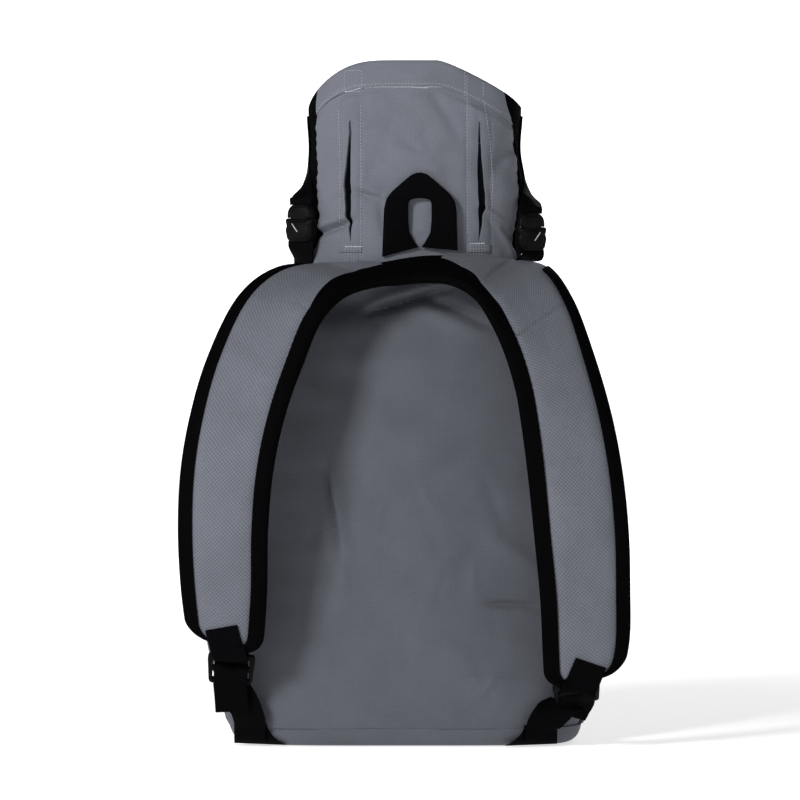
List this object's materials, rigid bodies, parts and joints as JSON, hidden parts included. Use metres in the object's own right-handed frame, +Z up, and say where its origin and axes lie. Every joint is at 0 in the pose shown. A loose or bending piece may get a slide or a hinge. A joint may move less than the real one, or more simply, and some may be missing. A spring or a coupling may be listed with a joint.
{
  "type": "hiking backpack",
  "caption": "Soft rucksack with a tall open collar, padded shoulder straps joined by a yoke, ladder locks, side buckles and a hang loop, standing upright.",
  "frame": {"origin": "on the floor, under the middle of the whole object", "axes": "+Z up, -Y towards the harness side, +X to the right of someone who looks at the harness"},
  "size_m": [0.3484, 0.265, 0.534],
  "materials": {
    "cloth": "woven, matte",
    "padding": "woven over foam, matte",
    "mesh": "knitted mesh, matte",
    "binding": "ribbed tape, matte",
    "webbing": "woven webbing, satin",
    "plastic": "satin"
  },
  "bodies": {
    "root": {"back_panel": "cloth", "front_wrap": "cloth", "base_panel": "cloth", "collar_back": "cloth", "hem_back": "cloth", "side_gusset_left": "mesh", "side_gusset_right": "mesh", "collar_front": "cloth", "hem_front": "cloth", "slit_patch_left": "cloth", "slit_patch_right": "cloth", "harness_face": "padding", "harness_mesh": "mesh", "binding_inner": "binding", "binding_outer_left": "binding", "binding_outer_right": "binding", "strap_tab_left": "webbing", "ladder_lock_left": "plastic", "adjuster_left": "webbing", "anchor_tab_left": "webbing", "strap_tab_right": "webbing", "ladder_lock_right": "plastic", "adjuster_right": "webbing", "anchor_tab_right": "webbing", "grab_loop": "webbing", "side_webbing_left": "webbing", "side_anchor_left": "webbing", "side_plug_left": "plastic", "side_socket_left": "plastic", "side_webbing_right": "webbing", "side_anchor_right": "webbing", "side_plug_right": "plastic", "side_socket_right": "plastic"}
  },
  "joints": []
}
